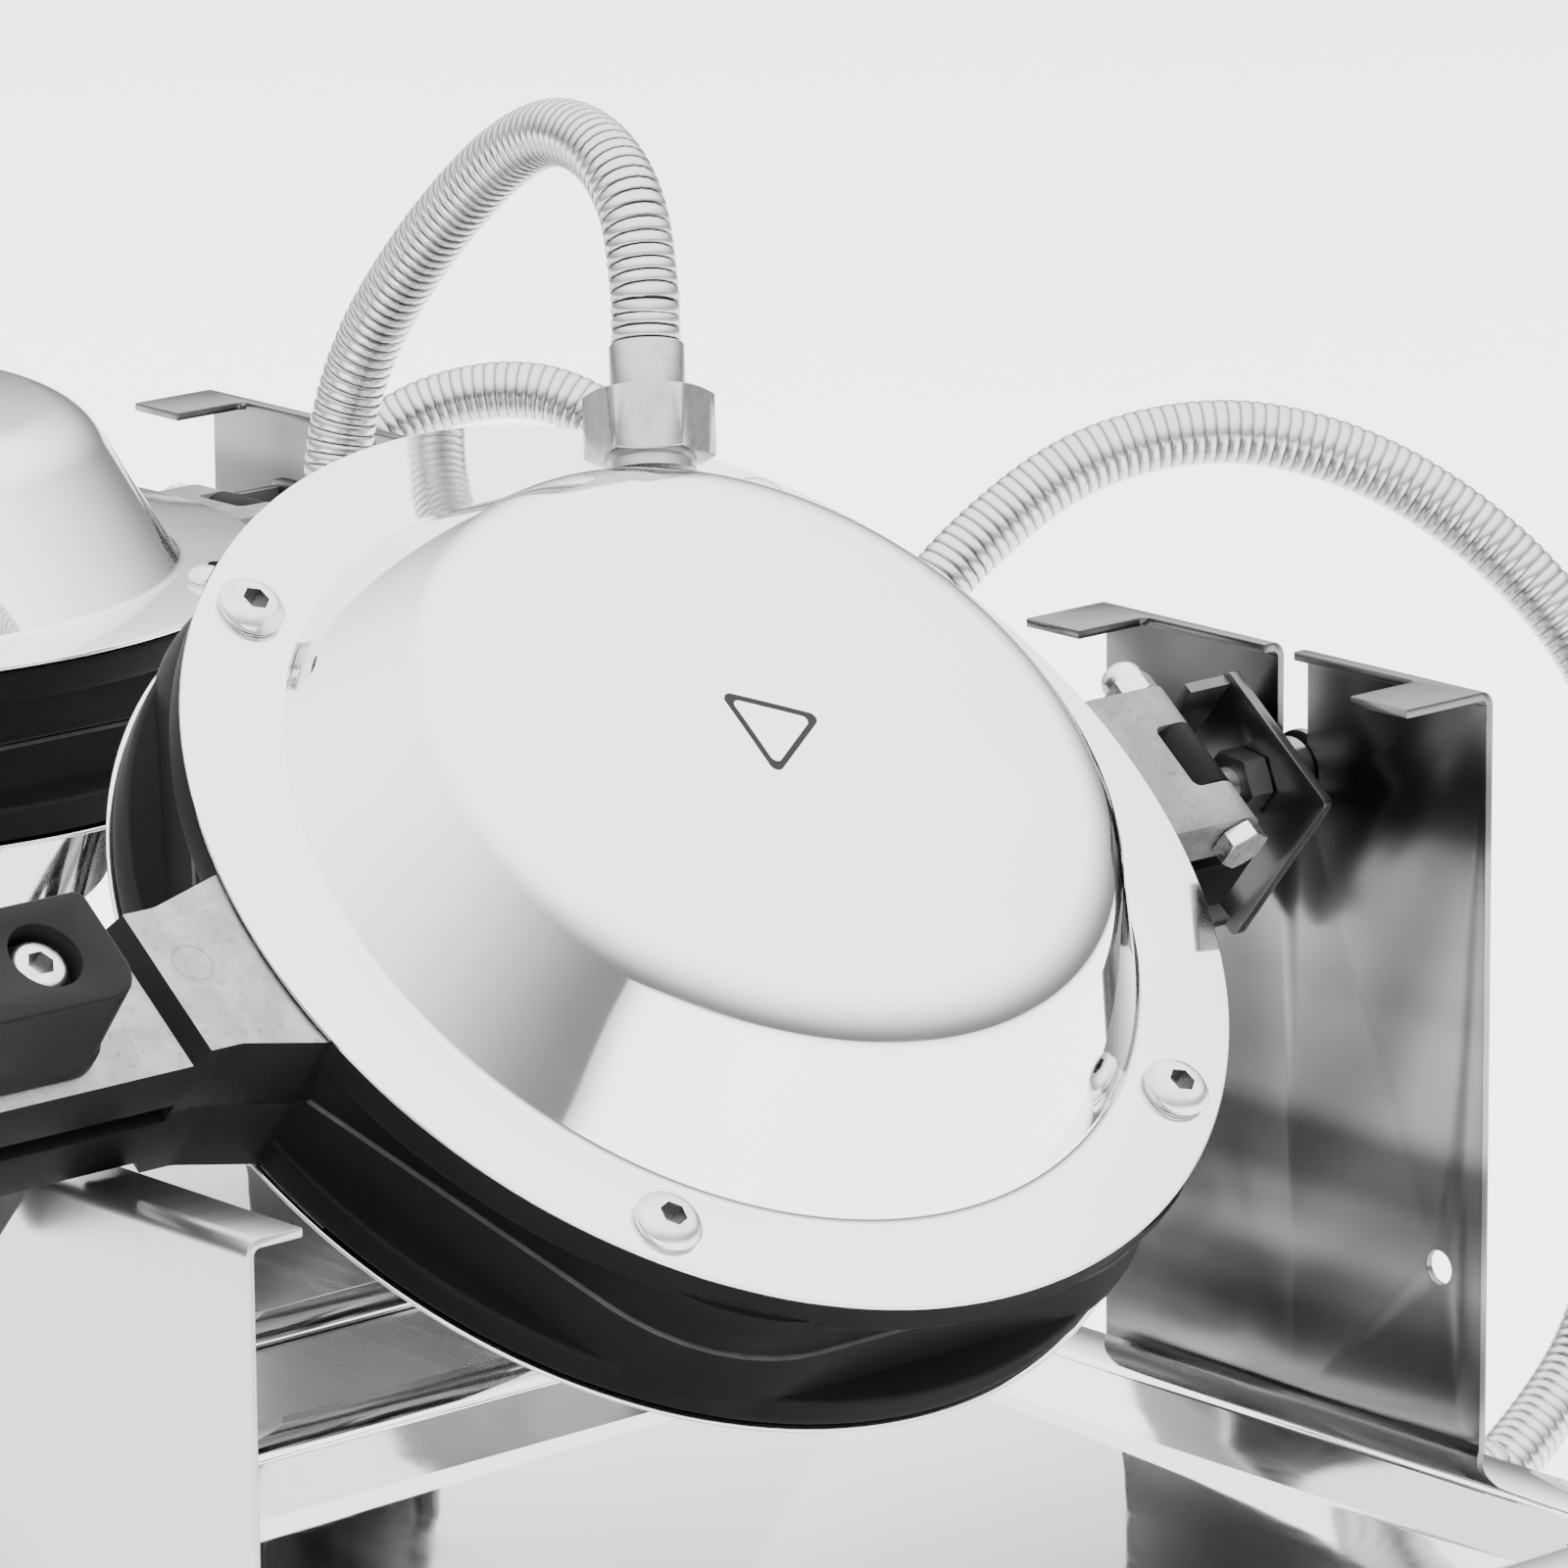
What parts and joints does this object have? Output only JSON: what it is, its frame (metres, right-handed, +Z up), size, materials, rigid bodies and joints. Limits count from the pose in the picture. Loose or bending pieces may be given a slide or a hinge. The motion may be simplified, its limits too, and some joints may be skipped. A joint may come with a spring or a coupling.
{
  "type": "donut maker",
  "caption": "Rotary donut maker: round hinged baking pans with long handles turn over in supports above a base that holds drip trays, controls and armoured hoses.",
  "frame": {"origin": "on the surface that the feet stand on, under the middle of the machine, from its grips' ends to its hose glands", "axes": "+Z up, +Y from the handles to the hinges at the rear, +X across the units to the machine's right"},
  "size_m": [0.6341, 0.5868, 0.4187],
  "materials": {
    "polished_steel": "mirror-polished stainless sheet",
    "brushed_steel": "satin stainless sheet with a fine grain",
    "dark_steel": "dark satin stainless sheet",
    "black_coating": "cast aluminium with a fine black coating, bare and machined on the handle arms",
    "zinc": "bright plated steel",
    "hose_steel": "strip-wound flexible metal hose",
    "bakelite": "moulded black bakelite with a low sheen",
    "heater_sheath": "dull oxidised tube",
    "black_plastic": "matt black moulding",
    "red_plastic": "glossy red moulding",
    "lamp_lens": "glossy amber lens",
    "rubber": "matt black rubber",
    "ceramic": "off-white ceramic housing"
  },
  "bodies": {
    "base": {"base_housing": "brushed_steel", "bottom_plate": "brushed_steel", "control_panel": "brushed_steel", "mains_gland": "black_plastic", "front_left_foot": "rubber", "front_right_foot": "rubber", "rear_left_foot": "rubber", "rear_right_foot": "rubber", "right_rear_support": "brushed_steel", "right_front_support": "brushed_steel", "right_drip_tray": "polished_steel", "right_hose_gland": "zinc", "right_heating_lamp": "lamp_lens", "right_thermostat": "ceramic", "right_timer": "black_plastic", "right_feed_hose": "hose_steel", "left_rear_support": "brushed_steel", "left_front_support": "brushed_steel", "left_drip_tray": "polished_steel", "left_hose_gland": "zinc", "left_heating_lamp": "lamp_lens", "left_thermostat": "ceramic", "left_timer": "black_plastic", "left_feed_hose": "hose_steel"},
    "right_lower": {"right_lower_pan": "black_coating", "right_lower_cover": "polished_steel", "right_lower_heater": "heater_sheath", "right_lower_hose_fitting": "zinc", "right_feed_hose_fitting": "zinc", "right_lower_grip": "bakelite", "right_hinge_bolt": "zinc", "right_pivot_bracket": "dark_steel", "right_pivot_bolt": "zinc", "right_jumper_hose": "hose_steel"},
    "right_upper": {"right_upper_pan": "black_coating", "right_upper_cover": "polished_steel", "right_upper_heater": "heater_sheath", "right_upper_hose_fitting": "zinc", "right_upper_grip": "bakelite"},
    "right_power_switch": {"right_power_switch": "red_plastic"},
    "right_thermostat_knob": {"right_thermostat_knob": "black_plastic"},
    "right_timer_knob": {"right_timer_knob": "black_plastic"},
    "left_lower": {"left_lower_pan": "black_coating", "left_lower_cover": "polished_steel", "left_lower_heater": "heater_sheath", "left_lower_hose_fitting": "zinc", "left_feed_hose_fitting": "zinc", "left_lower_grip": "bakelite", "left_hinge_bolt": "zinc", "left_pivot_bracket": "dark_steel", "left_pivot_bolt": "zinc", "left_jumper_hose": "hose_steel"},
    "left_upper": {"left_upper_pan": "black_coating", "left_upper_cover": "polished_steel", "left_upper_heater": "heater_sheath", "left_upper_hose_fitting": "zinc", "left_upper_grip": "bakelite"},
    "left_power_switch": {"left_power_switch": "red_plastic"},
    "left_thermostat_knob": {"left_thermostat_knob": "black_plastic"},
    "left_timer_knob": {"left_timer_knob": "black_plastic"}
  },
  "joints": [
    {"name": "right_flip", "type": "hinge", "parent": "base", "child": "right_lower", "pos_m": [0.156, 0.04235, 0.2685], "axis": [0, -1, 0], "range_deg": [-141.2, 38.8], "deforming": ["right_feed_hose"]},
    {"name": "right_open", "type": "hinge", "parent": "right_lower", "child": "right_upper", "pos_m": [0.16208, 0.18035, 0.27606], "axis": [-0.7793, 0, 0.6266], "range_deg": [0, 90], "deforming": ["right_jumper_hose"]},
    {"name": "right_thermostat_turn", "type": "hinge", "parent": "base", "child": "right_thermostat_knob", "pos_m": [0.144, -0.15065, 0.0725], "axis": [0, 1, 0], "range_deg": [0, 270]},
    {"name": "right_timer_turn", "type": "hinge", "parent": "base", "child": "right_timer_knob", "pos_m": [0.222, -0.15065, 0.0725], "axis": [0, 1, 0], "range_deg": [0, 300]},
    {"name": "right_power_rocker", "type": "hinge", "parent": "base", "child": "right_power_switch", "pos_m": [0.078, -0.15365, 0.0725], "axis": [1, 0, 0], "range_deg": [-8, 8]},
    {"name": "left_flip", "type": "hinge", "parent": "base", "child": "left_lower", "pos_m": [-0.156, 0.04235, 0.2685], "axis": [0, -1, 0], "range_deg": [-180, 0], "deforming": ["left_feed_hose"]},
    {"name": "left_open", "type": "hinge", "parent": "left_lower", "child": "left_upper", "pos_m": [-0.156, 0.18035, 0.2782], "axis": [-1, 0, 0], "range_deg": [0, 90], "deforming": ["left_jumper_hose"]},
    {"name": "left_thermostat_turn", "type": "hinge", "parent": "base", "child": "left_thermostat_knob", "pos_m": [-0.168, -0.15065, 0.0725], "axis": [0, 1, 0], "range_deg": [0, 270]},
    {"name": "left_timer_turn", "type": "hinge", "parent": "base", "child": "left_timer_knob", "pos_m": [-0.09, -0.15065, 0.0725], "axis": [0, 1, 0], "range_deg": [0, 300]},
    {"name": "left_power_rocker", "type": "hinge", "parent": "base", "child": "left_power_switch", "pos_m": [-0.234, -0.15365, 0.0725], "axis": [1, 0, 0], "range_deg": [-8, 8]}
  ]
}
